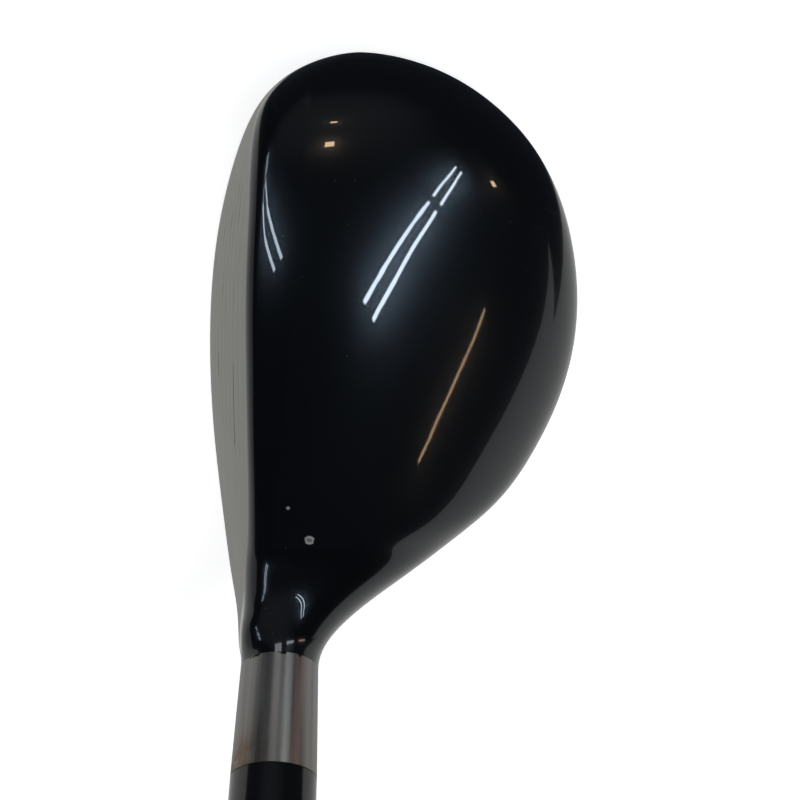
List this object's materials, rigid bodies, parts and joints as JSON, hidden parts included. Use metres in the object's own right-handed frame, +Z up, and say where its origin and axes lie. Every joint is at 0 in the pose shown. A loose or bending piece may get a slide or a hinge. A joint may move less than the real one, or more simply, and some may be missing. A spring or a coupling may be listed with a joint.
{
  "type": "hybrid golf club",
  "caption": "Right-handed hybrid golf club with a hollow glossy black head, bare steel hosel, graphite shaft and rubber grip.",
  "frame": {"origin": "on the ground under the middle of the leading edge, with the club standing at address", "axes": "+Z up, -Y the way the face looks, -X towards the toe, +X towards the heel and the grip"},
  "size_m": [0.6041, 0.0654, 0.8917],
  "materials": {
    "head_steel": "cast stainless steel, satin brushed on hosel and sole, black gloss paint from the skirt to the paint line",
    "black_lacquer": "deep black gloss lacquer over steel, fine scratches",
    "face_steel": "forged steel brushed from heel to toe",
    "badge": "dark anodised aluminium with a brushed border",
    "tape": "double-sided tape",
    "screw_steel": "turned steel",
    "slug": "plain steel slug",
    "hot_melt": "amber hot-melt glue",
    "epoxy": "cured epoxy",
    "brass": "turned brass",
    "ferrule_plastic": "polished black plastic",
    "graphite": "clear-coated dark graphite",
    "grip_rubber": "matt black rubber with moulded grooves",
    "foil": "silver foil band under clear coat"
  },
  "bodies": {
    "root": {"head_body": "head_steel", "crown_shell": "black_lacquer", "face_plate": "face_steel", "sole_badge": "badge", "badge_tape": "tape", "weight_screw": "screw_steel", "sole_weight": "slug", "hot_melt_pad": "hot_melt", "hosel_bond": "epoxy", "tip_weight": "brass", "ferrule": "ferrule_plastic", "shaft": "graphite", "shaft_band": "foil", "grip_tape": "tape", "grip_sleeve": "grip_rubber", "grip_cap": "grip_rubber"}
  },
  "joints": []
}
